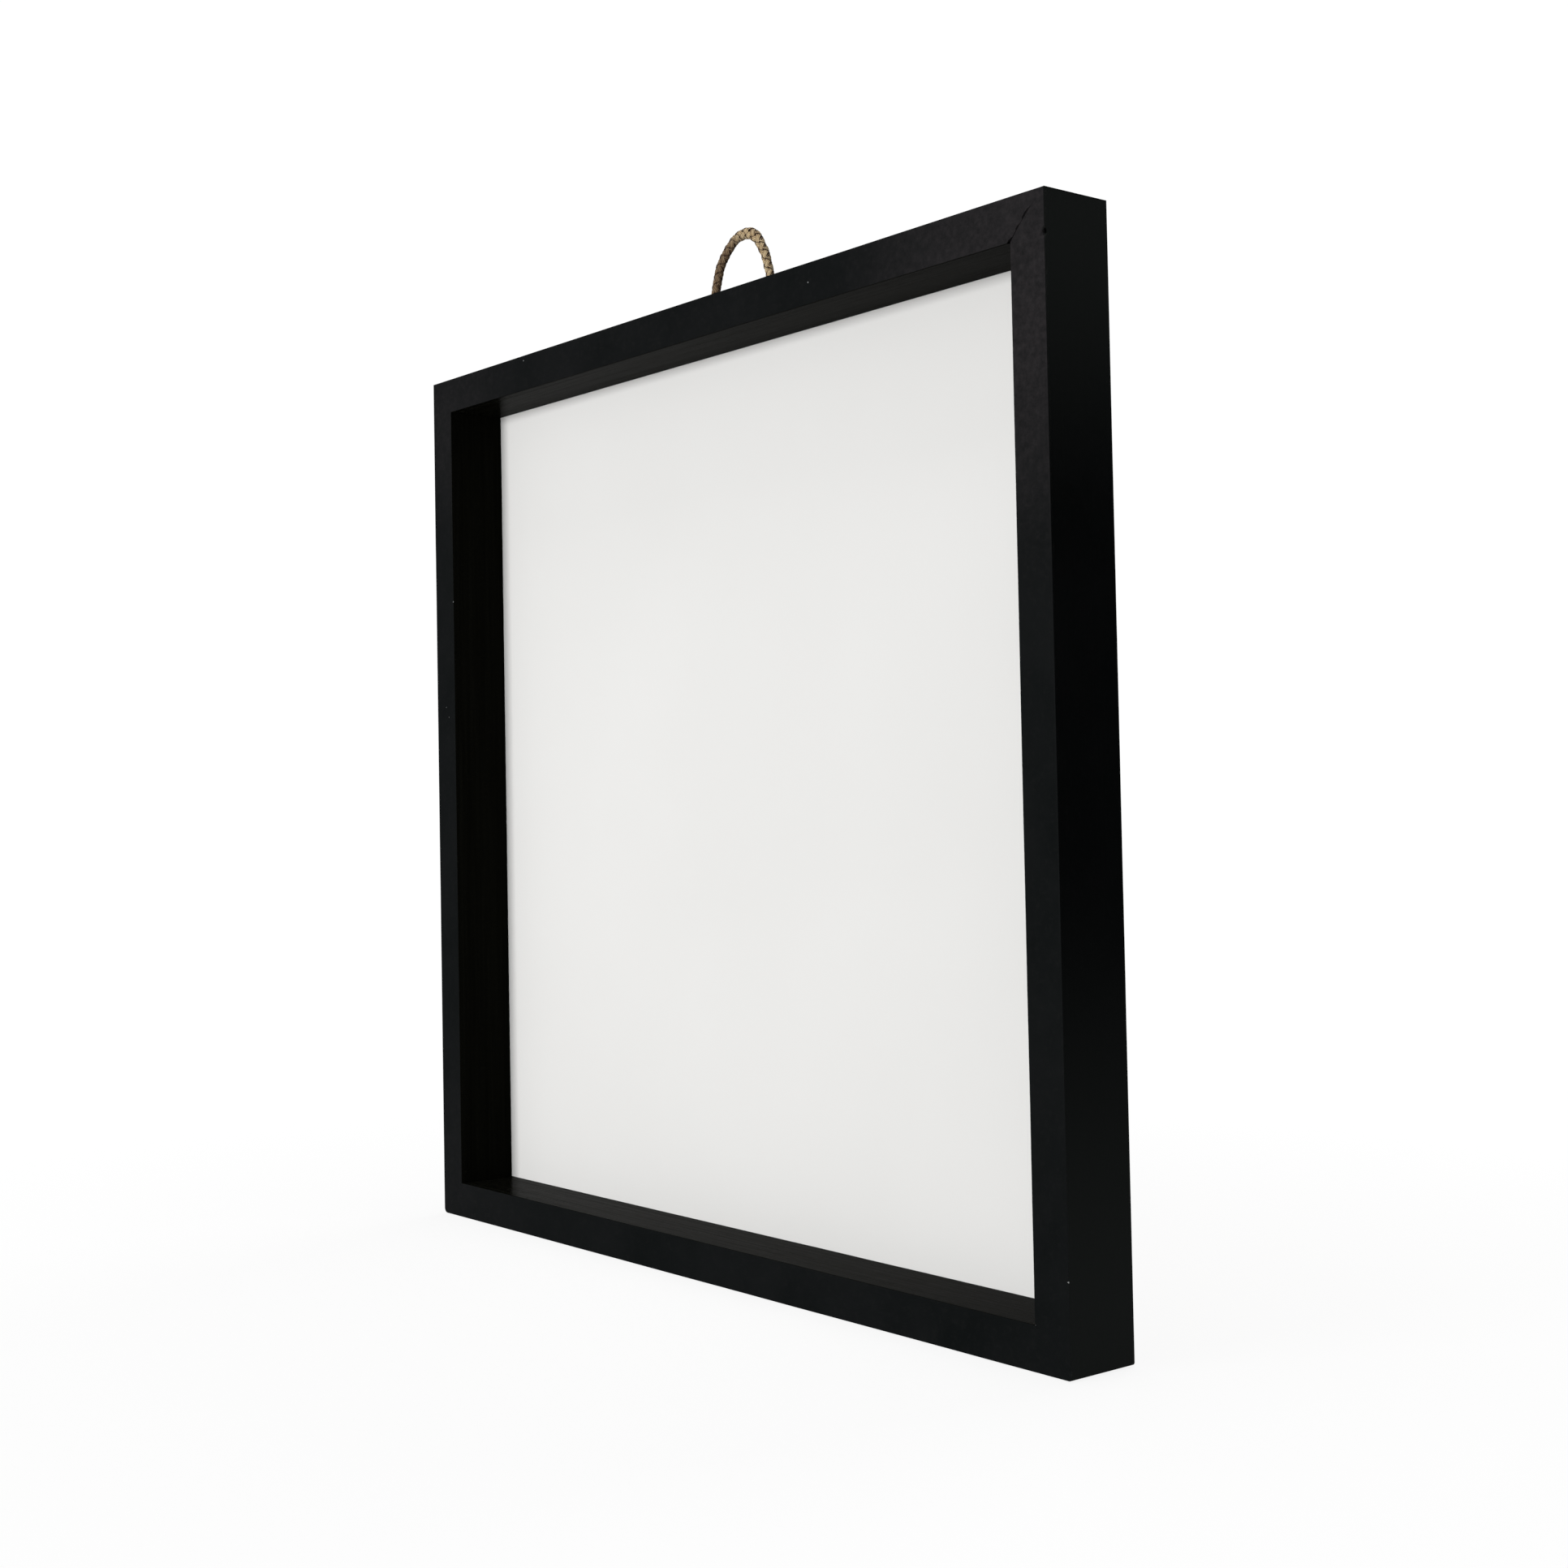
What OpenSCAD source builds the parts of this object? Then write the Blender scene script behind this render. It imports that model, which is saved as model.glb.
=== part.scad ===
// Square, open-fronted shadow box frame: four mitred rails, a display card and a backing board in a
// rebate, turn buttons that hold them in, and a loop of cord on the back of the top rail.
// X runs to the right, Y to the back and Z up. The origin is the middle of the underside.

/* [Frame] */
// Outside width and height of the frame
frame_side = 500; // [400:10:700]
// Depth of the rails from front to back
frame_depth = 40; // [35:1:60]
// Width of the rails' front faces
rail_face = 20; // [20:1:30]
// Reach of the wear on the lower left outer corner
worn_left_corner = 3; // [1:0.5:5]
// Reach of the wear on the lower right outer corner
worn_right_corner = 1.5; // [1:0.5:5]

/* [Back] */
// Width of the rebate round the inside of the back
rebate_width = 8; // [6:1:9]
// Thickness of the white card that shows inside the frame
card_thickness = 1.5; // [1:0.5:3]
// Thickness of the hardboard behind the card
board_thickness = 3; // [2:0.5:5]
// Play round the card and the board in the rebate
board_play = 0.5; // [0.3:0.1:1]

/* [Turn buttons] */
// Distance of the buttons from the middle of their rail
button_spread = 150; // [60:5:170]
// Reach of a button from its screw to its tip
button_reach = 22; // [18:1:28]
// Radius of the end that the screw holds
button_hub_r = 5; // [4:0.5:6]
// Radius of the tip
button_tip_r = 3.5; // [2.5:0.5:4]
// Thickness of the steel
button_thickness = 1.2; // [0.8:0.1:2]

/* [Fasteners] */
// Diameter of a turn button's screw
screw_d = 3.5; // [3:0.5:4]
// Length of a turn button's screw below its head
screw_length = 14; // [12:1:20]
// Length of each arm of a V-nail
v_nail_arm = 5; // [4:0.5:6]
// Depth that a V-nail is driven to
v_nail_depth = 10; // [8:1:15]
// Thickness of a staple's wire
staple_wire = 1.2; // [0.8:0.1:1.5]

/* [Cord] */
// Diameter of the hanging cord
cord_d = 5; // [4:0.5:5]

/* [Hidden] */
$fn = 64;
CUT = 0.1; // how far a cutter stands past the face that it opens

front_y = -frame_depth / 2;
back_y = frame_depth / 2;
rebate_depth = card_thickness + board_thickness;
land = rail_face - rebate_width; // what the rebate leaves of a rail's back
opening_side = frame_side - 2 * rail_face;
pocket_side = opening_side + 2 * rebate_width;
board_side = pocket_side - 2 * board_play;
card_front_y = back_y - rebate_depth;

// How far each rail is turned about the frame's middle, from the bottom rail's place
BOTTOM = 0;
LEFT = 90;
TOP = 180;
RIGHT = 270;
SIDES = [BOTTOM, LEFT, TOP, RIGHT];

// Turn buttons and their screws
button_inset = land - button_hub_r; // from a rail's outer face to a button's screw
slide_gap = 0.15; // between a button and the back that it sweeps over
bore_gap = 0.07; // between a button's bore and its screw, on the radius
head_gap = 0.1; // between a button and its screw's head
button_front_y = back_y + slide_gap;
screw_head_y = button_front_y + button_thickness + head_gap;
screw_r = screw_d / 2;
screw_tip = 3;
head_r = screw_d;
head_rim = 1.2;
head_dome = 1;
recess_length = 4;
recess_width = 0.8;
recess_depth = 1.2;

// V-nails, by the distance of their bend from both outer faces
v_nail_places = [3.5, 8];
v_nail_strip = 0.6;

// The cord's route in X and Z, with Z counted from the top of the frame
route = [
    [-31, -10], [-30, -4], [-29, 2], [-27.5, 8.5], [-26, 15.5], [-24, 22.5], [-21.5, 29],
    [-17.5, 34], [-13, 38], [-7.5, 41.5], [-1, 42.5], [5, 41.5], [10, 38], [13, 33.5],
    [16, 28.5], [18, 22.5], [20, 16], [21.5, 9], [23, 2], [24, -4], [25, -10]
];
cord_sides = 12;
cord_r = cord_d / 2;
cord_y = back_y + cord_r;

// Staples, as X and Z places on the cord's two legs, with Z counted from the top of the frame
staple_places = [[-30.7, -8], [-29.8, -3], [23.8, -3], [24.7, -8]];
staple_pinch = 0.4; // how far a staple's crown bites into the cord
staple_grip = 8; // depth of a staple's legs in the wood
staple_slack = 0.3; // between the cord and each of a staple's legs
staple_inside = cord_d + 2 * staple_slack;

// ---------- Placing ----------

// Turns what is drawn on the bottom rail round the frame's middle, onto another rail
module on_side(turn) {
    translate([0, 0, frame_side / 2])
        rotate([0, turn, 0])
            translate([0, 0, -frame_side / 2])
                children();
}

// Gives an outline drawn in X and Z its depth in Y
module between(front, back) {
    translate([0, back, 0])
        rotate([90, 0, 0])
            linear_extrude(height = back - front)
                children();
}

// Stands a turned shape's own axis along Y, with its far end to the back
module facing_back(y) {
    translate([0, y, 0])
        rotate([-90, 0, 0])
            children();
}

// ---------- Rails ----------

module mitred_outline() {
    polygon([
        [-frame_side / 2, 0],
        [frame_side / 2, 0],
        [opening_side / 2, rail_face],
        [-opening_side / 2, rail_face]
    ]);
}

module rebate_cut() {
    translate([-pocket_side / 2, card_front_y, (frame_side - pocket_side) / 2])
        cube([pocket_side, rebate_depth + CUT, pocket_side]);
}

// What wear has taken off a square corner at the origin. It leaves two flats that meet on the mitre
module corner_waste(reach) {
    ridge = reach * (1 - cos(45));
    polygon([
        [-CUT, -CUT],
        [reach, -CUT],
        [reach, 0],
        [ridge, ridge],
        [0, reach],
        [-CUT, reach]
    ]);
}

module worn_corners() {
    between(front_y - CUT, back_y + CUT) {
        translate([-frame_side / 2, 0])
            corner_waste(worn_left_corner);
        translate([frame_side / 2, 0])
            mirror([1, 0])
                corner_waste(worn_right_corner);
    }
}

module rail(turn) {
    color("#1b1d1e")
        difference() {
            on_side(turn)
                between(front_y, back_y)
                    mitred_outline();
            rebate_cut();
            worn_corners();
            v_nails();
            screws();
            staples();
        }
}

module top_rail() {
    rail(TOP);
}

module bottom_rail() {
    rail(BOTTOM);
}

module left_stile() {
    rail(LEFT);
}

module right_stile() {
    rail(RIGHT);
}

// ---------- Card and board ----------

module rebate_sheet(front, back) {
    translate([0, 0, frame_side / 2])
        between(front, back)
            square(board_side, center = true);
}

module display_card() {
    color("#ebebe9")
        rebate_sheet(card_front_y, card_front_y + card_thickness);
}

module backing_board() {
    color("#7a5a3c")
        rebate_sheet(card_front_y + card_thickness, back_y);
}

// ---------- V-nails across the mitres ----------

module v_nail(from_corner) {
    translate([-frame_side / 2 + from_corner, 0, from_corner])
        between(back_y - v_nail_depth, back_y) {
            square([v_nail_arm, v_nail_strip]);
            square([v_nail_strip, v_nail_arm]);
        }
}

module v_nails() {
    for (turn = SIDES)
        for (from_corner = v_nail_places)
            on_side(turn)
                v_nail(from_corner);
}

module corner_v_nails() {
    color("#9a9da0")
        v_nails();
}

// ---------- Turn buttons and their screws ----------

// Places what is drawn at a pivot onto a rail's back, a distance along the rail
module at_pivot(turn, along) {
    on_side(turn)
        translate([along, 0, button_inset])
            children();
}

// The tapered sides of a button, which meet both of its round ends at a tangent
module button_blade(hub_r, tip_r, length) {
    slope = asin((hub_r - tip_r) / length);
    hub = hub_r * [cos(slope), sin(slope)];
    tip = tip_r * [cos(slope), sin(slope)] + [0, length];
    polygon([[-hub.x, hub.y], hub, tip, [-tip.x, tip.y]]);
}

module turn_button(turn, along) {
    tip_from_pivot = button_reach - button_tip_r;
    color("#c8b06a")
        at_pivot(turn, along)
            between(button_front_y, button_front_y + button_thickness)
                difference() {
                    union() {
                        circle(button_hub_r);
                        translate([0, tip_from_pivot])
                            circle(button_tip_r);
                        button_blade(button_hub_r, button_tip_r, tip_from_pivot);
                    }
                    circle(screw_r + bore_gap);
                }
}

module screw_head() {
    dome_r = (head_r * head_r + head_dome * head_dome) / (2 * head_dome);
    height = head_rim + head_dome;
    difference() {
        intersection() {
            cylinder(r = head_r, h = height);
            translate([0, 0, height - dome_r])
                sphere(dome_r);
        }
        for (turn = [0, 90])
            rotate([0, 0, turn])
                translate([-recess_length / 2, -recess_width / 2, height - recess_depth])
                    cube([recess_length, recess_width, recess_depth + CUT]);
    }
}

module screw_shank() {
    translate([0, 0, screw_tip - screw_length])
        cylinder(r = screw_r, h = screw_length - screw_tip);
    translate([0, 0, -screw_length])
        cylinder(r1 = 0, r2 = screw_r, h = screw_tip);
}

module screws() {
    for (turn = SIDES)
        for (along = [-button_spread, button_spread])
            at_pivot(turn, along)
                facing_back(screw_head_y) {
                    screw_head();
                    screw_shank();
                }
}

module turn_button_screws() {
    color("#b7b9bb")
        screws();
}

// ---------- Hanging cord and its staples ----------

function route_point(i) = [route[i].x, cord_y, frame_side + route[i].y];

// Which way the route runs at a point, from the points either side of it
function heading(i) =
    let (
        last = len(route) - 1,
        step = route_point(min(i + 1, last)) - route_point(max(i - 1, 0))
    )
    step / norm(step);

// One ring of the tube, square to the route, starting from the side that lies on the frame
function ring(i) =
    let (across = cross(heading(i), [0, 1, 0]))
    [
        for (k = [0 : cord_sides - 1])
            let (angle = 360 * k / cord_sides)
            route_point(i) + cord_r * (sin(angle) * across - cos(angle) * [0, 1, 0])
    ];

module hanging_cord() {
    rings = len(route);
    points = [for (i = [0 : rings - 1]) each ring(i)];
    sides = [
        for (i = [0 : rings - 2])
            for (k = [0 : cord_sides - 1])
                let (
                    here = i * cord_sides,
                    there = here + cord_sides,
                    next = (k + 1) % cord_sides
                )
                [here + k, there + k, there + next, here + next]
    ];
    first_end = [for (k = [0 : cord_sides - 1]) k];
    last_end = [for (k = [cord_sides - 1 : -1 : 0]) (rings - 1) * cord_sides + k];
    color("#b59a72")
        polyhedron(points = points, faces = concat([first_end], sides, [last_end]));
}

module staple() {
    crown_y = back_y + cord_d - staple_pinch;
    outside = staple_inside + 2 * staple_wire;
    translate([-outside / 2, crown_y, -staple_wire / 2])
        cube([outside, staple_wire, staple_wire]);
    for (x = [-outside / 2, staple_inside / 2])
        translate([x, back_y - staple_grip, -staple_wire / 2])
            cube([staple_wire, crown_y - back_y + staple_grip, staple_wire]);
}

module staples() {
    for (place = staple_places)
        translate([place.x, 0, frame_side + place.y])
            staple();
}

module cord_staples() {
    color("#a9abad")
        staples();
}

top_rail();
bottom_rail();
left_stile();
right_stile();
display_card();
backing_board();
corner_v_nails();
turn_button(TOP, button_spread);  // turn_button_top_left
turn_button(TOP, -button_spread);  // turn_button_top_right
turn_button(RIGHT, button_spread);  // turn_button_right_upper
turn_button(RIGHT, -button_spread);  // turn_button_right_lower
turn_button(BOTTOM, button_spread);  // turn_button_bottom_right
turn_button(BOTTOM, -button_spread);  // turn_button_bottom_left
turn_button(LEFT, button_spread);  // turn_button_left_lower
turn_button(LEFT, -button_spread);  // turn_button_left_upper
turn_button_screws();
hanging_cord();
cord_staples();
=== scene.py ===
"""Looks of the shadow box: painted rails, mount board, hardboard, brass hardware and a braided jute loop.

Everything is in metres in the CAD frame: X to the right, Y to the back, Z up, with the origin in the
middle of the underside.
"""
import math
import random

import bpy
from mathutils import Matrix, Vector, noise


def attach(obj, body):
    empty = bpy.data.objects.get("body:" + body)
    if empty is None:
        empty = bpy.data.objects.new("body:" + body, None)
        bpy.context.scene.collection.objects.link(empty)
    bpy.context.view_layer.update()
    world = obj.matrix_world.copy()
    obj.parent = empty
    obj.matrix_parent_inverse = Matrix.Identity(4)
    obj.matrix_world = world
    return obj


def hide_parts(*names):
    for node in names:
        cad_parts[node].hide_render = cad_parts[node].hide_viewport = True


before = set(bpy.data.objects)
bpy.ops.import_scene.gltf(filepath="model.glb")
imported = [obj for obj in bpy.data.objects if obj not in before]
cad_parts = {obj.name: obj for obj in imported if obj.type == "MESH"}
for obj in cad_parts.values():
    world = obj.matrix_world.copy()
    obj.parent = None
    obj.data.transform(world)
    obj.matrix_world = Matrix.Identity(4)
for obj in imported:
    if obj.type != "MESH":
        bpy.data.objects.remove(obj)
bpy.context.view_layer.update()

MM = 0.001
ROOT = "frame"
STUDIO_WHITE = 1.02  # what the camera sees of the world and of the floor far off

# ---------- Sizes that the CAD model sets ----------

SIDE = 500 * MM
DEPTH = 40 * MM
RAIL_FACE = 20 * MM
REBATE_WIDTH = 8 * MM
REBATE_DEPTH = 4.5 * MM
WORN_LEFT = 3 * MM
WORN_RIGHT = 1.5 * MM
FRONT = -DEPTH / 2
BACK = DEPTH / 2
CORD_D = 5 * MM
CORD_Y = BACK + CORD_D / 2

# The cord's route in X and Z, with Z counted from the top of the frame, in millimetres
ROUTE = [
    (-31, -10), (-30, -4), (-29, 2), (-27.5, 8.5), (-26, 15.5), (-24, 22.5), (-21.5, 29),
    (-17.5, 34), (-13, 38), (-7.5, 41.5), (-1, 42.5), (5, 41.5), (10, 38), (13, 33.5),
    (16, 28.5), (18, 22.5), (20, 16), (21.5, 9), (23, 2), (24, -4), (25, -10),
]

# How far each rail is turned about the frame's middle, from the bottom rail's place, in degrees
RAILS = {"bottom_rail": 0, "left_stile": 90, "top_rail": 180, "right_stile": 270}


# ---------- Small helpers ----------

def smooth(x, low, high):
    """0 below low, 1 above high and an even curve between them."""
    t = min(1.0, max(0.0, (x - low) / (high - low)))
    return t * t * (3 - 2 * t)


def mesh_object(name, points, faces, material, smooth_faces=True):
    """An object made of these points and faces, shaded smooth unless told otherwise."""
    mesh = bpy.data.meshes.new(name)
    mesh.from_pydata(points, [], faces)
    mesh.update()
    mesh.materials.append(material)
    mesh.polygons.foreach_set("use_smooth", [smooth_faces] * len(mesh.polygons))
    obj = bpy.data.objects.new(name, mesh)
    bpy.context.scene.collection.objects.link(obj)
    return obj


def set_uv(obj, per_point):
    """Gives a mesh a UV map from one (u, v) pair a point."""
    layer = obj.data.uv_layers.new(name="along")
    for loop in obj.data.loops:
        layer.data[loop.index].uv = per_point[loop.vertex_index]


def set_mask(obj, name, per_point):
    """Gives a mesh a number a point that its material reads."""
    layer = obj.data.attributes.new(name, "FLOAT", "POINT")
    layer.data.foreach_set("value", per_point)


# ---------- Camera ----------

def make_camera():
    """The main view: in front of the frame and to its right, a little below its middle."""
    data = bpy.data.cameras.new("camera")
    data.lens = 48.666
    data.sensor_width = 36
    data.shift_x = 0.0626
    data.shift_y = -0.0303
    camera = bpy.data.objects.new("camera", data)
    camera.location = (0.8578, -0.6823, 0.2411)
    yaw, pitch, roll = (math.radians(a) for a in (52.456, 1.885, -1.012))
    level = Matrix.Rotation(yaw, 3, "Z") @ Matrix.Rotation(math.pi / 2 + pitch, 3, "X")
    camera.rotation_euler = (level @ Matrix.Rotation(roll, 3, "Z")).to_euler()
    bpy.context.scene.collection.objects.link(camera)
    bpy.context.scene.camera = camera


# ---------- Material helpers ----------

class Look:
    """A procedural material while it is being put together."""

    def __init__(self, name):
        self.material = bpy.data.materials.new(name)
        self.material.use_nodes = True
        self.tree = self.material.node_tree
        self.shader = self.tree.nodes["Principled BSDF"]

    def add(self, kind, inputs=None, **settings):
        node = self.tree.nodes.new("ShaderNode" + kind)
        for key, value in settings.items():
            setattr(node, key, value)
        for key, value in (inputs or {}).items():
            self.join(value, node.inputs[key])
        return node

    def join(self, value, socket):
        if isinstance(value, bpy.types.NodeSocket):
            self.tree.links.new(value, socket)
        else:
            socket.default_value = value

    def set(self, **inputs):
        """Sets the shader's own sockets, with _ for a space in their names."""
        for key, value in inputs.items():
            self.join(value, self.shader.inputs[key.replace("_", " ")])

    def place(self):
        return self.add("TexCoord").outputs["Object"]

    def uv(self):
        return self.add("UVMap", uv_map="along").outputs["UV"]

    def attribute(self, name):
        return self.add("Attribute", attribute_name=name).outputs["Fac"]

    def stretched(self, vector, scale):
        return self.add("Mapping", {"Vector": vector, "Scale": scale}).outputs["Vector"]

    def noise(self, vector, scale, detail=4.0, roughness=0.5, distortion=0.0):
        inputs = {
            "Vector": vector, "Scale": scale, "Detail": detail,
            "Roughness": roughness, "Distortion": distortion,
        }
        return self.add("TexNoise", inputs).outputs["Fac"]

    def ramp(self, value, low, high, start=0.0, end=1.0):
        """Maps low to high onto start to end, with nothing outside them."""
        inputs = {"Value": value, "From Min": low, "From Max": high, "To Min": start, "To Max": end}
        return self.add("MapRange", inputs).outputs["Result"]

    def maths(self, operation, a, b=0.0):
        return self.add("Math", {0: a, 1: b}, operation=operation).outputs[0]

    def mix(self, factor, a, b):
        node = self.add("Mix", {0: factor}, data_type="RGBA")
        for value, index in ((a, 6), (b, 7)):
            colour = value if isinstance(value, bpy.types.NodeSocket) else (*value, 1.0)
            self.join(colour, node.inputs[index])
        return node.outputs[2]

    def bump(self, height, distance, strength=1.0, below=None):
        inputs = {"Height": height, "Distance": distance, "Strength": strength}
        if below is not None:
            inputs["Normal"] = below
        return self.add("Bump", inputs).outputs["Normal"]


# ---------- Wear and painted sheen on the painted rails ---

# Pale specks where the paint is chipped: the place in millimetres, and the speck's radius
PALE_CHIPS = [
    ((98, -20, 490.5), 0.40),
    ((-150, -20, 497), 0.35),
    ((-230.2, -20, 366), 0.45),
    ((-230, -10, 375), 0.35),
    ((249.6, -20, 41), 0.50),
    ((250, -20, 3.0), 0.40),
    ((250, -20, 4.2), 0.35),
    ((230, -19.6, 20), 0.50),
    ((-240, -20, 303), 0.25),
    ((-237, -20, 297), 0.25),
]

# Dents in the wood: the place in millimetres, the radius and the depth
DENTS = [
    ((250, -20, 481), 2.2, 1.2),
    ((249.6, -20, 41), 0.8, 0.25),
    ((250, -20, 3.4), 1.6, 0.3),
    ((-230.2, -20, 366), 0.9, 0.3),
    ((230, -20, 20), 1.0, 0.3),
]

# Patches of painted sheen that make the front lighter: the middle in millimetres, the radius and how strong
PAINTED_FRONT_SHEEN = [
    ((244, 465), 155, 0.60),
    ((-235, 490), 110, 0.24),
    ((-60, 492), 300, 0.07),
    ((-245, 10), 120, 0.10),
]

# Patches of painted sheen that make the outer side lighter towards its top and bottom: the same
PAINTED_SIDE_SHEEN = [
    ((250, 0), 225, 1.0),
    ((250, 515), 165, 1.0),
]


# ---------- Materials ----------

def black_paint():
    """Matt black paint over planed wood: grain along the rail, soft mottling, pale where chipped, painted
    sheen that lightens patches of the front and outer side, and painted shade in the open mitre and dents.
    """
    look = Look("black_paint")
    place, uv = look.place(), look.uv()
    grain = look.noise(look.stretched(uv, (9, 620, 1)), 1.0, detail=5, roughness=0.62, distortion=0.4)
    clouds = look.noise(place, 26, detail=5, roughness=0.6)
    mottle = look.noise(place, 380, detail=5, roughness=0.65)
    specks = look.noise(place, 1700, detail=2, roughness=0.5)

    tone = look.mix(look.ramp(clouds, 0.35, 0.7), (0.0038, 0.0047, 0.0048), (0.0062, 0.0069, 0.0072))
    tone = look.mix(look.ramp(mottle, 0.52, 0.8, 0, 0.35), tone, (0.0120, 0.0120, 0.0120))
    # Painted sheen: lighter patches on the front faces, broken up by the mottling.
    worn = look.maths("MULTIPLY", look.attribute("painted_front_sheen"), look.ramp(mottle, 0.3, 0.7, 0.35, 1.0))
    tone = look.mix(worn, tone, (0.0340, 0.0300, 0.0320))
    # Painted sheen: lighter towards the top and bottom of the outer side.
    tone = look.mix(look.attribute("painted_side_sheen"), tone, (0.0245, 0.0275, 0.0262))
    # Painted shade: near black on the end face seen down the open mitre and in the deeper dents.
    tone = look.mix(look.attribute("painted_crevice_shade"), tone, (0.0006, 0.0006, 0.0006))
    tone = look.mix(chip_mask(look, place), tone, (0.200, 0.205, 0.205))

    look.set(
        Base_Color=tone,
        Roughness=look.ramp(look.maths("ADD", clouds, mottle), 0.7, 1.3, 0.40, 0.60),
        Specular_IOR_Level=0.018,
    )
    height = look.maths("ADD", grain, look.maths("MULTIPLY", specks, 0.22))
    look.set(Normal=look.bump(height, 0.00009, 0.7, look.bump(clouds, 0.0004, 0.35)))
    return look.material


def inner_paint():
    """The smoother black inside the box, which mirrors the card at a low angle through streaks of grain."""
    look = Look("inner_paint")
    place, uv = look.place(), look.uv()
    streaks = look.noise(look.stretched(uv, (7, 420, 1)), 1.0, detail=6, roughness=0.62, distortion=0.8)
    dust = look.noise(place, 900, detail=4, roughness=0.7)
    tone = look.mix(look.ramp(streaks, 0.36, 0.66), (0.0023, 0.0024, 0.0017), (0.0044, 0.0045, 0.0033))
    tone = look.mix(look.ramp(dust, 0.60, 0.80, 0, 0.5), tone, (0.0240, 0.0200, 0.0100))
    look.set(
        Base_Color=tone,
        Roughness=look.ramp(streaks, 0.35, 0.65, 0.10, 0.28),
        Specular_IOR_Level=0.0012,
        Specular_Tint=(1.0, 0.93, 0.75, 1.0),
    )
    look.set(Normal=look.bump(streaks, 0.00012, 0.6, look.bump(dust, 0.00004, 0.4)))
    return look.material


def chip_mask(look, place):
    """1 on the pale chips, with ragged edges."""
    ragged = look.ramp(look.noise(place, 1500, detail=3, roughness=0.7), 0.2, 0.8, 0.45, 1.5)
    mask = 0.0
    for spot, radius in PALE_CHIPS:
        centre = tuple(v * MM for v in spot)
        far = look.add("VectorMath", {0: place, 1: centre}, operation="DISTANCE").outputs["Value"]
        edge = look.maths("MULTIPLY", ragged, radius * MM)
        mask = look.maths("MAXIMUM", mask, look.maths("LESS_THAN", far, edge))
    return mask


def white_card():
    """White mount board with a fine tooth and the faintest of shading."""
    look = Look("white_card")
    place = look.place()
    cloud = look.noise(place, 7, detail=3)
    tooth = look.noise(place, 2400, detail=3, roughness=0.6)
    tone = look.mix(look.ramp(cloud, 0.3, 0.7), (0.765, 0.760, 0.745), (0.785, 0.780, 0.766))
    tone = look.mix(look.ramp(tooth, 0.3, 0.7, 0, 0.25), tone, (0.735, 0.730, 0.715))
    look.set(Base_Color=tone, Roughness=0.88, Specular_IOR_Level=0.25)
    look.set(Normal=look.bump(tooth, 0.00004, 0.5, look.bump(cloud, 0.002, 0.12)))
    return look.material


def hardboard():
    """The rough side of hardboard: pressed fibres with the print of the press's wire screen, and painted
    shade in its hollows.
    """
    look = Look("hardboard")
    place = look.place()
    across, _, up = look.add("SeparateXYZ", {0: place}).outputs
    screen_pitch = 1.25 * MM
    waves = []
    for axis in (across, up):
        turns = look.maths("MULTIPLY", axis, 2 * math.pi / screen_pitch)
        waves.append(look.ramp(look.maths("SINE", turns), -1, 1))
    screen = look.maths("MULTIPLY", *waves)
    fibres = look.noise(look.stretched(place, (1, 1, 2.2)), 420, detail=7, roughness=0.72, distortion=1.6)
    flecks = look.noise(place, 1300, detail=4, roughness=0.7)
    clouds = look.noise(place, 14, detail=4)
    tone = look.mix(look.ramp(fibres, 0.3, 0.72), (0.105, 0.052, 0.023), (0.290, 0.168, 0.082))
    tone = look.mix(look.ramp(flecks, 0.58, 0.78, 0, 0.7), tone, (0.400, 0.262, 0.145))
    tone = look.mix(look.ramp(flecks, 0.22, 0.36, 0.6, 0), tone, (0.050, 0.024, 0.012))
    tone = look.mix(look.ramp(clouds, 0.35, 0.7, 0, 0.35), tone, (0.130, 0.070, 0.034))
    # Painted shade in the hollows of the screen's print.
    tone = look.mix(look.ramp(screen, 0.0, 0.5, 0.3, 0.0), tone, (0.070, 0.036, 0.017))
    look.set(Base_Color=tone, Roughness=0.82, Specular_IOR_Level=0.25)
    rough = look.bump(fibres, 0.00025, 0.6)
    look.set(Normal=look.bump(screen, 0.00022, 0.8, rough))
    return look.material


def metal(name, bright, dull, roughness, scratch_scale, tarnish=0.5):
    """Bare or plated metal with fine scratches and patches of tarnish."""
    look = Look(name)
    place = look.place()
    scratches = look.noise(look.stretched(place, (1, 1, 0.12)), scratch_scale, detail=5, roughness=0.7)
    patches = look.noise(place, 320, detail=5, roughness=0.65)
    tone = look.mix(look.ramp(patches, 0.42, 0.7, 0, tarnish), bright, dull)
    wear = look.maths("ADD", patches, scratches)
    look.set(
        Base_Color=tone,
        Metallic=1.0,
        Roughness=look.ramp(wear, 0.7, 1.4, roughness - 0.09, roughness + 0.14),
        Normal=look.bump(scratches, 0.00003, 0.5, look.bump(patches, 0.00008, 0.3)),
    )
    return look.material


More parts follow.
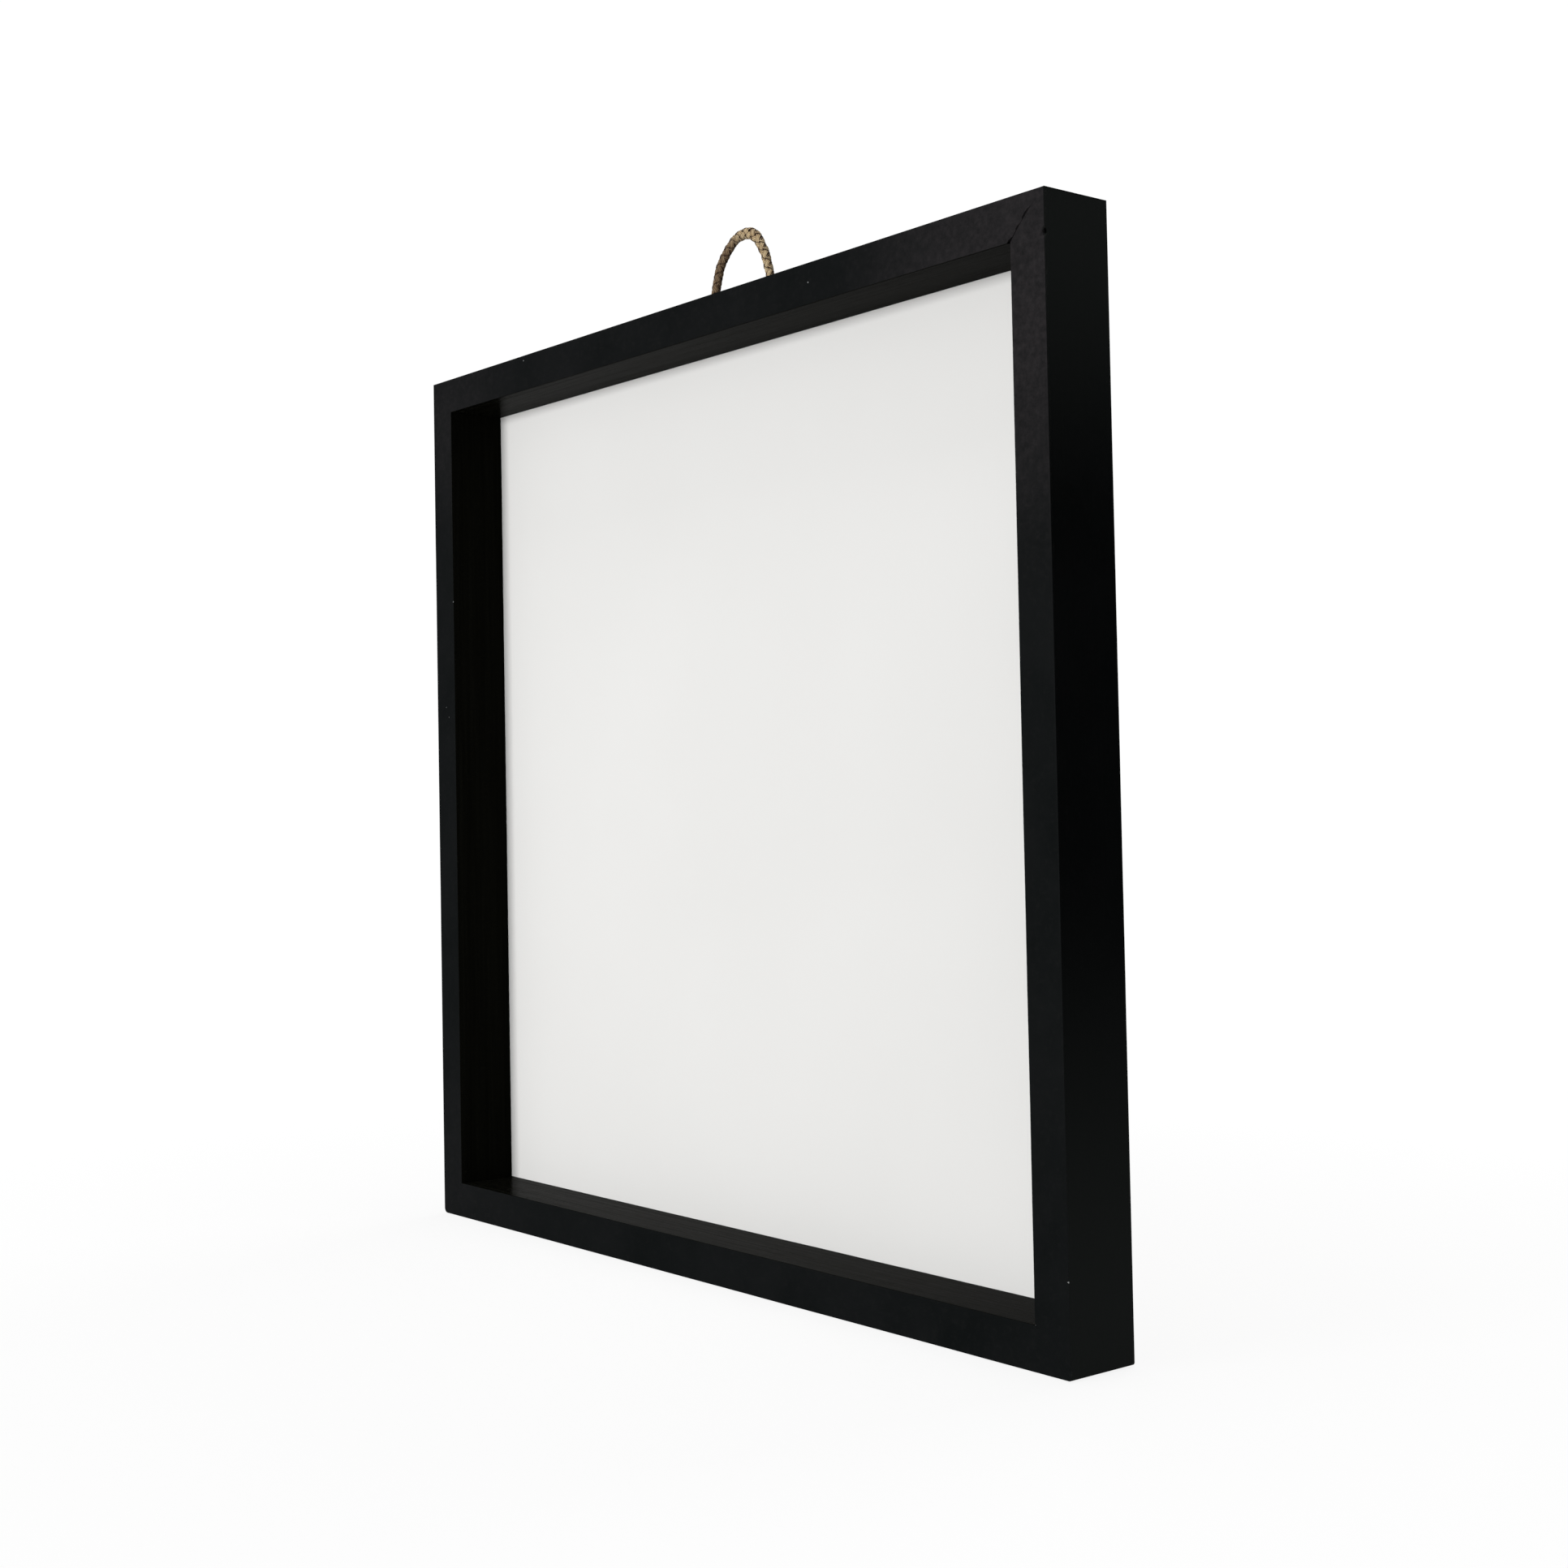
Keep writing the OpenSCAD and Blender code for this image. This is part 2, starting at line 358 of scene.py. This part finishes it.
def jute():
    """Natural fibre: streaks along each strand's own fibres, with painted shade in the grooves, so paler on
    the crowns.
    """
    look = Look("jute")
    place, uv = look.place(), look.uv()
    fibres = look.noise(look.stretched(uv, (420, 5200, 1)), 1.0, detail=5, roughness=0.7, distortion=0.5)
    tufts = look.noise(look.stretched(uv, (230, 1300, 1)), 1.0, detail=4, roughness=0.6, distortion=0.8)
    clouds = look.noise(place, 150, detail=3)
    tone = look.mix(look.ramp(fibres, 0.3, 0.7), (0.560, 0.350, 0.160), (1.000, 0.820, 0.500))
    tone = look.mix(look.ramp(tufts, 0.50, 0.70, 0, 0.6), tone, (1.000, 0.930, 0.660))
    tone = look.mix(look.ramp(tufts, 0.30, 0.46, 0.7, 0), tone, (0.150, 0.080, 0.030))
    tone = look.mix(look.ramp(clouds, 0.42, 0.7, 0, 0.40), tone, (0.420, 0.255, 0.118))
    across = look.add("SeparateXYZ", {0: place}).outputs[0]
    # Darker and greyer towards the left leg, by X.
    left_leg_darkening = look.ramp(across, -0.001, -0.014)
    tone = look.mix(look.maths("MULTIPLY", left_leg_darkening, 0.56), tone, (0.138, 0.072, 0.043))
    painted_groove_shade = look.maths("POWER", look.attribute("painted_groove_shade"), look.ramp(left_leg_darkening, 0, 1, 0.9, 0.42))
    # Painted shade in the grooves between yarns, at the strands' edges and where a strand runs under the
    # others, deeper and wider towards the left leg.
    tone = look.mix(painted_groove_shade, tone, (0.034, 0.013, 0.004))
    look.set(Base_Color=tone, Roughness=0.9, Specular_IOR_Level=0.2, Sheen_Weight=0.15)
    look.set(Normal=look.bump(fibres, 0.00012, 0.9, look.bump(tufts, 0.0002, 0.5)))
    return look.material


def pale_floor():
    """Matt white near the object, turning into the studio's own white further off."""
    look = Look("studio_floor")
    place = look.place()
    far = look.add("VectorMath", {0: place}, operation="LENGTH").outputs["Value"]
    look.set(
        Base_Color=look.mix(look.noise(place, 3), (0.93, 0.93, 0.93), (0.94, 0.94, 0.94)),
        Roughness=0.95,
        Specular_IOR_Level=0.0,
    )
    seen = look.add("LightPath").outputs["Is Camera Ray"]
    strength = look.ramp(seen, 0, 1, 0.26, STUDIO_WHITE)
    glow = look.add("Emission", {"Color": (1, 1, 1, 1), "Strength": strength}).outputs[0]
    share = look.ramp(far, 0.30, 0.9, 0.86, 1.0)
    blend = look.add("MixShader", {0: share, 1: look.shader.outputs[0], 2: glow})
    look.join(blend.outputs[0], look.tree.nodes["Material Output"].inputs["Surface"])
    return look.material


# ---------- Rails ----------

ARRIS = 0.35 * MM
ARC_STEPS = 4
OUTLINE_STEP = 1.0 * MM
FINE_STEP = 0.35 * MM  # between the sections of a rail near its ends, and away from them
COARSE_STEP = 3 * MM
FINE_REACH = 6 * MM  # how far from an end the sections stay close together
BACK_SINK = 0.08 * MM  # how far the painted back lies below the V-nails' heads
CRACK_RUNS = [(6.6, 11.4, 1.6), (12.8, 15.6, 1.3), (17.6, 21.4, 1.9)]  # from, to, width in mm
CRACK_HAIRLINE = 0.30  # width between the runs, in mm
CRACK_DEPTH = 5 * MM
CRACK_EASE = 4 * MM  # how far along the rail its wood eases back
CRACK_BOW = 0.7 * MM  # how far the mitre leaves its straight line, and where on the face that starts
CRACK_BOW_START = 4 * MM
BOW_REACH = 12 * MM  # how far along the rails the bow fades out


def arc_points(centre, radius, start):
    """A quarter turn of an outline in (in, back). Its angle falls by 90 degrees from the start."""
    turns = [math.radians(start - 90 * i / ARC_STEPS) for i in range(ARC_STEPS + 1)]
    return [(centre[0] + radius * math.cos(t), centre[1] + radius * math.sin(t)) for t in turns]


def filled_in(corners, step):
    """The same closed outline with points added along its long straights."""
    outline = []
    for i, here in enumerate(corners):
        there = corners[(i + 1) % len(corners)]
        gap = math.dist(here, there)
        count = max(1, round(gap / step))
        for k in range(count):
            t = k / count
            outline.append((here[0] + t * (there[0] - here[0]), here[1] + t * (there[1] - here[1])))
    return outline


def rail_outline():
    """A rail's section as (in from the outer face, back from the middle), round from the front face."""
    back = BACK - BACK_SINK
    ledge = BACK - REBATE_DEPTH
    land = RAIL_FACE - REBATE_WIDTH
    r = ARRIS
    corners = []
    corners += reversed(arc_points((r, FRONT + r), r, 270))
    corners += reversed(arc_points((RAIL_FACE - r, FRONT + r), r, 0))
    corners += [(RAIL_FACE, ledge - r / 3), (RAIL_FACE - r / 3, ledge), (land, ledge)]
    corners += reversed(arc_points((land - r, back - r), r, 90))
    corners += reversed(arc_points((r, back - r), r, 180))
    return filled_in(corners, OUTLINE_STEP)


def stations(fine_spots):
    """Distances along a rail from -1 to 1 half lengths, close together near the ends and the dents."""
    half = SIDE / 2
    places, step, x = [], FINE_STEP, 0.0
    while x < half:
        places.append(x)
        if x > FINE_REACH:
            step = min(step * 1.18, COARSE_STEP)
        x += step
    both = {round((half - x) / half, 6) for x in places} | {round((x - half) / half, 6) for x in places}
    both |= {-1.0, 1.0}
    for spot in fine_spots:
        both |= {round(spot / half + k * 0.3 * MM / half, 6) for k in range(-6, 7)}
    ordered = []
    for u in sorted(u for u in both if -1 <= u <= 1):
        if not ordered or (u - ordered[-1]) * half > 0.12 * MM:
            ordered.append(u)
    ordered[-1] = 1.0
    return ordered


def crack_gap(inward, y, from_end):
    """How far the open mitre pulls the top rail's wood back, at a place on it and a distance from its end."""
    gap = 0.0
    mm = inward / MM
    for low, high, width in CRACK_RUNS:
        gap = max(gap, width * smooth(mm, low, low + 1.0) * (1 - smooth(mm, high - 1.0, high)))
    if mm > CRACK_RUNS[0][0]:
        gap = max(gap, CRACK_HAIRLINE)
    shallow = 1 - smooth(y - FRONT, 0.6 * CRACK_DEPTH, CRACK_DEPTH)
    return gap * MM * shallow * max(0.0, 1 - from_end / CRACK_EASE)


def crack_bow(inward):
    """How far the open mitre is bowed towards the top rail."""
    t = (inward - CRACK_BOW_START) / (RAIL_FACE - CRACK_BOW_START)
    return CRACK_BOW * math.sin(math.pi * t) if 0 < t < 1 else 0.0


def on_rail(u, inward, worn_ends, bows):
    """A point of the bottom rail's outline as (X, Z from the frame's middle), worn corners included."""
    half = SIDE / 2
    end = 1 if u > 0 else -1
    along = u * (half - inward)
    worn = worn_ends[end]
    from_corner = half - abs(along)
    height = inward
    if worn and inward < worn and from_corner < worn:
        turn = math.radians(45) * (worn - from_corner) / (worn - inward)
        along = end * (half - worn + (worn - inward) * math.sin(turn))
        height = worn - (worn - inward) * math.cos(turn)
    near = smooth(abs(u) * half, half - BOW_REACH, half)
    along += end * near * bows[end] * crack_bow(inward)
    return along, height - half


def rail_corners(name):
    """How worn each end's outer corner is, and which way its mitre bows, by end of the rail."""
    worn = {
        "bottom_rail": {-1: WORN_LEFT, 1: WORN_RIGHT},
        "left_stile": {-1: 0, 1: WORN_LEFT},
        "right_stile": {-1: WORN_RIGHT, 1: 0},
    }.get(name, {-1: 0, 1: 0})
    bows = {"top_rail": {-1: -1, 1: 0}, "right_stile": {-1: 0, 1: 1}}.get(name, {-1: 0, 1: 0})
    return worn, bows


def turned(x, z, turn):
    """X and Z from the frame's middle, turned about Y as the CAD turns a rail."""
    c, s = round(math.cos(math.radians(turn))), round(math.sin(math.radians(turn)))
    return x * c + z * s, -x * s + z * c


def unevenness(point):
    """How far planing, sanding and brushing have left the paint below the flat, at a point."""
    slow = noise.noise(point * 22)
    quick = noise.noise(point * 95 + Vector((3, 7, 1)))
    return (0.055 * (slow + 1) + 0.02 * (quick + 1)) * MM


def on_inner_wall(inward, y):
    """Whether a point of the outline is on the rail's inner wall, in front of the card."""
    return inward > RAIL_FACE - 0.4 * ARRIS and y < BACK - REBATE_DEPTH + 0.1 * MM


def patches_at(x, z, patches):
    """How strong the patches are at a place in millimetres."""
    most = 0.0
    for middle, radius, strength in patches:
        most = max(most, strength * (1 - smooth(math.dist((x, z), middle), 0.1 * radius, radius)))
    return most


def outline_normals(outline):
    """Which way each point of a closed outline faces, out of the wood."""
    normals = []
    for before, after in zip([outline[-1], *outline], [*outline[1:], outline[0]]):
        tangent = Vector((after[0] - before[0], after[1] - before[1])).normalized()
        normals.append((tangent.y, -tangent.x))
    return normals


def runs_along(line):
    """How far along a line each of its points is."""
    runs = [0.0]
    for here, there in zip(line, line[1:]):
        runs.append(runs[-1] + math.dist(here, there))
    return runs


def tube_faces(rings, around):
    """The sides of a tube of rings of points, then its first end and its last."""
    faces = []
    for i in range(rings - 1):
        for k in range(around):
            a, b = i * around + k, i * around + (k + 1) % around
            faces.append((a, b, b + around, a + around))
    last = (rings - 1) * around
    faces.append(tuple(reversed(range(around))))
    faces.append(tuple(range(last, last + around)))
    return faces


def dents_on_rail(turn):
    """The dents that touch a rail, each with its place along it."""
    dents = []
    for (x, y, z), radius, depth in DENTS:
        along, height = turned(x * MM, z * MM - SIDE / 2, -turn)
        if height < -SIDE / 2 + RAIL_FACE + 1 * MM:
            dents.append((Vector((x, y, z)) * MM, radius * MM, depth * MM, along))
    return dents


def make_rail(name, turn, paint, inside):
    worn, bows = rail_corners(name)
    outline = rail_outline()
    around = len(outline)
    normals = outline_normals(outline)
    run = runs_along(outline)
    dents = dents_on_rail(turn)
    us = stations([along for *_, along in dents])

    points, uvs, painted_crevice_shade, painted_front_sheen, painted_side_sheen = [], [], [], [], []
    cracked = name == "top_rail"
    for i, u in enumerate(us):
        for k, (inward, y) in enumerate(outline):
            along, height = on_rail(u, inward, worn, bows)
            gap = crack_gap(inward, y, (1 + u) * SIDE / 2) if cracked else 0.0
            along += gap
            x, z = turned(along, height, turn)
            point = Vector((x, y, z + SIDE / 2))
            nx, nz = turned(0, normals[k][0], turn)
            outward = Vector((nx, normals[k][1], nz))
            sink = unevenness(point)
            # Painted shade on the end face seen down the open mitre, and in the deeper dents.
            shade_in_crevice = smooth(gap, 0.0, 0.5 * MM) if i == 0 else 0.0
            for centre, radius, depth, _ in dents:
                bruise = 1 - smooth((point - centre).length, 0.25 * radius, radius)
                sink += depth * bruise
                shade_in_crevice = max(shade_in_crevice, bruise * smooth(depth, 0.3 * MM, 1.2 * MM))
            point -= outward * sink
            points.append(point)
            uvs.append((along, run[k] + turn * 0.01))
            painted_crevice_shade.append(shade_in_crevice)
            place = (x / MM, (z + SIDE / 2) / MM)
            # Painted sheen on the front faces.
            painted_front_sheen.append(smooth(-outward.y, 0.75, 1.0) * patches_at(*place, PAINTED_FRONT_SHEEN))
            # Painted sheen on the outer side faces.
            painted_side_sheen.append(smooth(outward.x, 0.75, 1.0) * patches_at(*place, PAINTED_SIDE_SHEEN))

    obj = mesh_object(name + "_painted", points, tube_faces(len(us), around), paint)
    for end in obj.data.polygons[-2:]:
        end.use_smooth = False
    obj.data.materials.append(inside)
    walled = [on_inner_wall(*place) for place in outline]
    for face in obj.data.polygons[:-2]:
        k = face.index % around
        face.material_index = int(walled[k] and walled[(k + 1) % around])
    set_uv(obj, uvs)
    set_mask(obj, "painted_crevice_shade", painted_crevice_shade)
    set_mask(obj, "painted_front_sheen", painted_front_sheen)
    set_mask(obj, "painted_side_sheen", painted_side_sheen)
    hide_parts(name)
    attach(obj, ROOT)


# ---------- Hanging cord ----------

BRAID_WIDE = 2.05 * MM  # half axes of the flattened tube that the strands' middles run on
BRAID_DEEP = 1.35 * MM
BRAID_PITCH = 16 * MM  # along the cord, for one turn of a strand
STRANDS_EACH_WAY = 3
STRAND_WIDE = 1.50 * MM  # half width and half thickness of a strand
STRAND_DEEP = 0.52 * MM
STRAND_LIFT = 0.19 * MM  # how far a strand rises over another, and sinks under the next
STRAND_SIDES = 24
STRAND_STEP = 0.3 * MM
YARNS = 3  # side by side in a strand
LOOSE_FIBRES = 110  # hairs that stand off the whole cord
FRAYED_FIBRES = 12  # hairs at each end of each strand
HELD_END = 9 * MM  # how much of each end the staples press against the rail, and where that has eased off
FREE_END = 14 * MM
# How much wider the braid is where it is bent looser, at shares of its length
BRAID_SWELL = [
    (0.0, 1.0), (0.08, 1.05), (0.14, 1.12), (0.24, 1.08), (0.34, 1.03), (0.46, 1.0),
    (0.56, 1.22), (0.68, 1.0), (0.80, 0.92), (1.0, 0.92),
]


def through(points, step):
    """A smooth line through the points, as points about a step apart."""
    ends = [2 * points[0] - points[1], *points, 2 * points[-1] - points[-2]]
    line = []
    for a, b, c, d in zip(ends, ends[1:], ends[2:], ends[3:]):
        count = max(2, round((c - b).length / step))
        for k in range(count):
            t = k / count
            square = (2 * a - 5 * b + 4 * c - d) * t * t
            cube = (3 * b - a - 3 * c + d) * t ** 3
            line.append(0.5 * (2 * b + (c - a) * t + square + cube))
    line.append(points[-1].copy())
    return line


def line_length(line):
    return sum((b - a).length for a, b in zip(line, line[1:]))


def between_keys(keys, t):
    """The value at t on a smooth curve through (place, value) keys."""
    for (t0, v0), (t1, v1) in zip(keys, keys[1:]):
        if t <= t1:
            return v0 + (v1 - v0) * smooth(t, t0, t1)
    return keys[-1][1]


def route_points():
    return [Vector((x * MM, CORD_Y, SIDE + z * MM)) for x, z in ROUTE]


def tapered_tube(line, radius, sides):
    """Points and faces of a thin tube that narrows towards its far end."""
    up = Vector((0.3, 0.8, 0.52))
    points = []
    last = len(line) - 1
    for i, here in enumerate(line):
        heading = (line[min(i + 1, last)] - line[max(i - 1, 0)]).normalized()
        side = heading.cross(up).normalized()
        front = side.cross(heading)
        for k in range(sides):
            angle = 2 * math.pi * k / sides
            r = radius * (1 - 0.6 * i / len(line))
            points.append(here + r * (math.cos(angle) * side + math.sin(angle) * front))
    return points, [(face[0], *reversed(face[1:])) for face in tube_faces(len(line), sides)]


def braid_strand(line, number, way):
    """One strand of the braid along the cord's line: its middle, which way its flat faces, and
    whether it is over the others, 1, or under them, -1."""
    total = line_length(line)
    last = len(line) - 1
    strand, facings, overs, s = [], [], [], 0.0
    for i, here in enumerate(line):
        heading = (line[min(i + 1, last)] - line[max(i - 1, 0)]).normalized()
        if i:
            s += (here - line[i - 1]).length
        swell = between_keys(BRAID_SWELL, s / total)
        wide = Vector((0, 1, 0)).cross(heading)
        deep = heading.cross(wide)
        drift = 0.12 * noise.noise(Vector((s * 90, number * 5.1, way)))
        angle = way * 2 * math.pi * s / BRAID_PITCH + 2 * math.pi * number / STRANDS_EACH_WAY + drift
        facing = (BRAID_DEEP * math.cos(angle) * wide + BRAID_WIDE * math.sin(angle) * deep).normalized()
        over = way * math.cos(STRANDS_EACH_WAY * angle)
        lift = STRAND_LIFT * over + 0.10 * MM * noise.noise(Vector((s * 210, number * 3.7, way + 4)))
        free = smooth(min(s, total - s), HELD_END, FREE_END)
        lower = Vector((0, -0.35 * MM * (1 - free), 0))
        middle = swell * (BRAID_WIDE * math.cos(angle) * wide + BRAID_DEEP * math.sin(angle) * deep)
        strand.append(here + middle + lift * facing + lower)
        facings.append(facing)
        overs.append(over)
    return strand, facings, overs


def strand_tube(strand, facings, overs, seed):
    """A strand's surface: a flat bundle of yarns side by side, with the marks of their fibres."""
    runs = runs_along(strand)
    total = runs[-1]
    points, uvs, painted_groove_shades = [], [], []
    last = len(strand) - 1
    for i, here in enumerate(strand):
        heading = (strand[min(i + 1, last)] - strand[max(i - 1, 0)]).normalized()
        side = heading.cross(facings[i]).normalized()
        front = side.cross(heading)
        end = min(1, min(runs[i], total - runs[i]) / (0.8 * MM))
        dome = math.sqrt(max(0.02, 1 - (1 - end) ** 2))
        swell = 1 + 0.08 * noise.noise(Vector((runs[i] * 240, seed * 3.3, 2)))
        wander = 0.25 * noise.noise(Vector((runs[i] * 300, seed * 7.1, 5)))
        for k in range(STRAND_SIDES):
            angle = 2 * math.pi * k / STRAND_SIDES
            across = math.cos(angle)
            between_yarns = abs(math.cos(YARNS * math.pi / 2 * (across + wander + 1))) ** 3
            if abs(across) > 0.8:
                between_yarns = 0.0
            hair = noise.noise(Vector((9 * across, math.sin(angle), runs[i] * 420 + seed * 9)))
            grow = dome * (swell + 0.05 * hair)
            thick = STRAND_DEEP * (1 - 0.30 * between_yarns)
            points.append(here + grow * (STRAND_WIDE * across * side + thick * math.sin(angle) * front))
            uvs.append((runs[i] + seed * 0.7, across * STRAND_WIDE + seed * 0.05))
            # Painted shade: dark between the yarns, at the strand's edges and where it runs under the others.
            edge = smooth(abs(across), 0.55, 0.95)
            under = smooth(-overs[i], -0.35, 0.65)
            painted_groove_shades.append(max(0.85 * between_yarns, edge, under))
    return points, tube_faces(len(strand), STRAND_SIDES), uvs, painted_groove_shades


def loose_fibre(rng, root, outward, heading, length):
    """A short hair that stands off the cord and curls along it."""
    side = outward.cross(heading)
    curl = side * rng.uniform(-0.5, 0.5)
    steps = 5
    line = []
    for i in range(steps + 1):
        t = i / steps
        rise = outward * math.sin(t * rng.uniform(1.2, 1.6)) * 0.55
        line.append(root + length * (rise + heading * t * 0.8 + curl * t * t))
    return line


def make_cord(material):
    route = route_points()
    line = through(route, STRAND_STEP)
    strands = [braid_strand(line, n, way) for way in (1, -1) for n in range(STRANDS_EACH_WAY)]
    points, faces, uvs, painted_groove_shades = [], [], [], []

    def take(more_points, more_faces, more_uvs, more_groove_shades):
        start = len(points)
        points.extend(more_points)
        faces.extend(tuple(i + start for i in f) for f in more_faces)
        uvs.extend(more_uvs)
        painted_groove_shades.extend(more_groove_shades)

    for seed, (strand, facings, overs) in enumerate(strands):
        take(*strand_tube(strand, facings, overs, seed))

    rng = random.Random(11)

    def take_fibre(hair, radius):
        more_points, more_faces = tapered_tube(hair, radius, 3)
        u = rng.uniform(2, 3)
        take(more_points, more_faces, [(u, u)] * len(more_points), [0.0] * len(more_points))

    for _ in range(LOOSE_FIBRES):
        strand, facings, _ = rng.choice(strands)
        i = rng.randrange(12, len(strand) - 12)
        heading = (strand[i + 1] - strand[i - 1]).normalized() * rng.choice((-1, 1))
        root = strand[i] + facings[i] * STRAND_DEEP * 0.85
        take_fibre(loose_fibre(rng, root, facings[i], heading, rng.uniform(0.5, 1.5) * MM), 0.035 * MM)
    for strand, *_ in strands:
        for tip, inner in ((strand[0], strand[4]), (strand[-1], strand[-5])):
            heading = (tip - inner).normalized()
            for _ in range(FRAYED_FIBRES):
                spread = Vector((rng.uniform(-1, 1), rng.uniform(-0.6, 1), rng.uniform(-1, 1)))
                root = inner + 0.5 * STRAND_DEEP * spread
                hair = []
                for t in (0, 0.35, 0.7, 1):
                    hair.append(root + (heading + spread * 0.28 * t) * t * rng.uniform(2.4, 3.0) * MM)
                take_fibre(hair, 0.07 * MM)

    cord = mesh_object("hanging_cord_braid", points, faces, material)
    set_uv(cord, uvs)
    set_mask(cord, "painted_groove_shade", painted_groove_shades)
    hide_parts("hanging_cord")
    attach(cord, ROOT)


# ---------- Pieces that keep their CAD shape ----------

def finish_node(node, material, edge):
    """Gives a CAD node its material, and takes the sharpness off its edges."""
    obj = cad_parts[node]
    obj.data.materials.clear()
    obj.data.materials.append(material)
    weld = obj.modifiers.new("weld", "WELD")
    weld.merge_threshold = 0.000001
    bevel = obj.modifiers.new("edges", "BEVEL")
    bevel.width = edge
    bevel.segments = 3
    bevel.limit_method = "ANGLE"
    bevel.angle_limit = math.radians(40)
    bevel.harden_normals = True


# ---------- Light and floor ----------

def make_floor():
    half = 6.0
    points = [(-half, -half, 0), (half, -half, 0), (half, half, 0), (-half, half, 0)]
    floor = mesh_object("studio_floor", points, [(0, 1, 2, 3)], pale_floor(), smooth_faces=False)
    floor.location.z = -0.5 * MM


def make_light(name, place, target, size, power):
    data = bpy.data.lights.new(name, "AREA")
    data.shape = "RECTANGLE"
    data.size, data.size_y = size
    data.energy = power
    lamp = bpy.data.objects.new(name, data)
    lamp.location = place
    lamp.rotation_euler = (Vector(target) - Vector(place)).to_track_quat("-Z", "Y").to_euler()
    lamp.visible_camera = False
    bpy.context.scene.collection.objects.link(lamp)


def make_world():
    """A white studio to the camera. What it lights gets more from the front left than from the right rear."""
    world = bpy.data.worlds.new("studio")
    world.use_nodes = True
    tree = world.node_tree
    tree.nodes.clear()

    def add(kind, **inputs):
        node = tree.nodes.new("ShaderNode" + kind)
        for key, value in inputs.items():
            node.inputs[key.replace("_", " ")].default_value = value
        return node

    direction = add("TexCoord")
    towards_key = add("VectorMath")
    towards_key.operation = "DOT_PRODUCT"
    towards_key.inputs[1].default_value = Vector((-0.35, -0.85, 0.40)).normalized()
    strength = add("MapRange", From_Min=-0.8, From_Max=1.0, To_Min=0.04, To_Max=0.26)
    lit = add("Background", Color=(0.985, 0.995, 1, 1))
    seen = add("Background", Color=(1, 1, 1, 1), Strength=STUDIO_WHITE)
    rays = add("LightPath")
    mix = add("MixShader")
    out = add("OutputWorld")
    tree.links.new(direction.outputs["Generated"], towards_key.inputs[0])
    tree.links.new(towards_key.outputs["Value"], strength.inputs["Value"])
    tree.links.new(strength.outputs["Result"], lit.inputs["Strength"])
    tree.links.new(rays.outputs["Is Camera Ray"], mix.inputs[0])
    tree.links.new(lit.outputs[0], mix.inputs[1])
    tree.links.new(seen.outputs[0], mix.inputs[2])
    tree.links.new(mix.outputs[0], out.inputs[0])
    bpy.context.scene.world = world


def light_the_scene():
    make_world()
    middle = (0, 0, SIDE / 2)
    make_light("key", (-0.35, -2.9, 0.42), middle, (1.2, 1.0), 79)
    make_light("overhead", (0.0, 0.1, 2.6), (0, 0, 0), (2.4, 2.4), 30)
    make_light("rear", (-0.3, 2.4, 1.3), middle, (1.6, 1.4), 30)
    view = bpy.context.scene.view_settings
    view.view_transform = "Standard"
    view.look = "None"


# ---------- Making everything ----------

make_camera()
make_cord(jute())

paint = black_paint()
inside = inner_paint()
for rail_name, rail_turn in RAILS.items():
    make_rail(rail_name, rail_turn, paint, inside)

brass = metal("button_brass", (0.80, 0.60, 0.29), (0.42, 0.29, 0.13), 0.30, 1500)
screw_brass = metal("screw_brass", (0.78, 0.58, 0.28), (0.30, 0.20, 0.09), 0.34, 2200, 0.7)
finish_node("display_card", white_card(), 0.2 * MM)
finish_node("backing_board", hardboard(), 0.4 * MM)
nail_steel = metal("nail_steel", (0.52, 0.53, 0.54), (0.26, 0.24, 0.22), 0.36, 2600)
finish_node("corner_v_nails", nail_steel, 0.1 * MM)
finish_node("turn_button_screws", screw_brass, 0.12 * MM)
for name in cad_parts:
    if name.startswith("turn_button_") and name != "turn_button_screws":
        finish_node(name, brass, 0.3 * MM)
staple_steel = metal("staple_steel", (0.60, 0.61, 0.62), (0.34, 0.33, 0.32), 0.33, 3000)
finish_node("cord_staples", staple_steel, 0.3 * MM)

make_floor()
light_the_scene()

bpy.context.view_layer.update()
